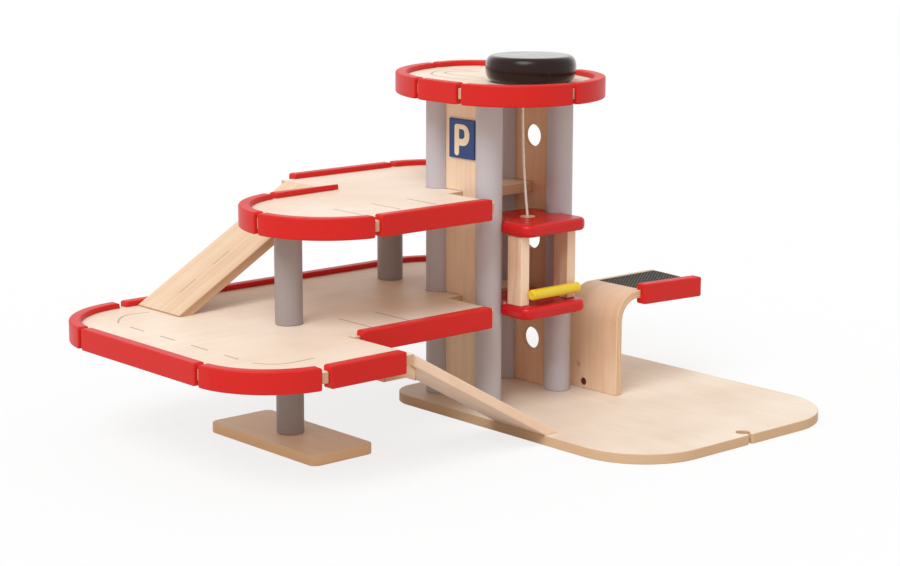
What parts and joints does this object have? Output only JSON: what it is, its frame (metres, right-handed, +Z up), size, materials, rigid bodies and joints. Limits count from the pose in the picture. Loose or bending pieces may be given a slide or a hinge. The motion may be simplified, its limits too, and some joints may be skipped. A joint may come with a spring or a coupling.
{
  "type": "toy parking garage with lift",
  "caption": "Wooden toy parking garage: two railed decks and a roof on round posts, two ramps, a bent bridge, and a lift cage on a cord wound by a knob on the roof.",
  "frame": {"origin": "on the floor, under the middle of the toy's overall box", "axes": "+Z up; +Y from the front of the lower deck along the toy's length to the back of the ground board; +X across it, from the decks' left side towards the ground board"},
  "size_m": [0.443, 0.6108, 0.3384],
  "materials": {
    "pale_ply": "clear lacquered pale plywood",
    "beech": "clear lacquered warm wood",
    "red_paint": "satin red paint on wood",
    "grey_paint": "satin grey paint on wood",
    "black_gloss": "gloss black lacquer on turned wood",
    "yellow_paint": "satin yellow paint on wood",
    "sign": "printed blue and white sign",
    "woven_mat": "dark woven mat",
    "cord": "white twisted cord",
    "felt": "grey felt",
    "steel": "zinc plated steel",
    "dark_steel": "dark browned steel"
  },
  "bodies": {
    "garage": {"base_board": "pale_ply", "foot_board": "beech", "lower_deck": "pale_ply", "upper_deck": "pale_ply", "roof_board": "pale_ply", "lower_rail_front_left": "red_paint", "lower_rail_front": "red_paint", "lower_rail_front_right": "red_paint", "lower_rail_right": "red_paint", "lower_rail_inner": "red_paint", "lower_rail_back_left": "red_paint", "lower_rail_left": "red_paint", "upper_rail_front_left": "red_paint", "upper_rail_front_right": "red_paint", "upper_rail_right": "red_paint", "upper_rail_back_left": "red_paint", "upper_rail_left": "red_paint", "upper_rail_inner": "red_paint", "roof_rail_front": "red_paint", "roof_rail_right": "red_paint", "roof_rail_back": "red_paint", "roof_rail_back_left": "red_paint", "roof_rail_left": "red_paint", "front_panel": "beech", "back_panel": "beech", "parking_sign": "sign", "tower_post_left_front": "grey_paint", "tower_post_right_front": "grey_paint", "tower_post_right_back": "grey_paint", "tower_post_left_back": "grey_paint", "foot_post": "grey_paint", "deck_post_front": "grey_paint", "deck_post_left": "grey_paint", "screw_left_front": "steel", "screw_right_front": "steel", "screw_right_back": "steel", "screw_left_back": "steel", "screw_foot": "steel", "lower_ramp": "beech", "lower_cleat": "beech", "upper_ramp": "beech", "upper_cleat": "beech", "bridge": "pale_ply", "bridge_mat": "woven_mat", "bridge_nut": "dark_steel", "bridge_bolt": "steel", "bridge_rail": "red_paint", "lift_cord": "cord", "felt_ring": "felt"},
    "lift": {"lift_floor": "red_paint", "lift_roof": "red_paint", "lift_post_front": "beech", "lift_post_back": "beech", "barrier_pin": "steel", "cord_plug": "beech"},
    "barrier": {"lift_barrier": "yellow_paint"},
    "knob": {"knob": "black_gloss", "knob_axle": "steel", "cord_winding": "cord"}
  },
  "joints": [
    {"name": "knob_turn", "type": "hinge", "parent": "garage", "child": "knob", "pos_m": [-0.0065, 0.10475, 0.3134], "axis": [0, 0, 1], "range_deg": [-895, 1041]},
    {"name": "lift_slide", "type": "slide", "parent": "garage", "child": "lift", "axis": [0, 0, 1], "range_m": [-0.086, 0.1], "deforming": ["lift_cord"]},
    {"name": "barrier_swing", "type": "hinge", "parent": "lift", "child": "barrier", "pos_m": [0.0269, 0.13285, 0.119], "axis": [-1, 0, 0], "range_deg": [0, 60]}
  ],
  "couplings": [
    {"joint": "lift_slide", "follows": "knob_turn", "m_per_rad": 0.0055}
  ]
}
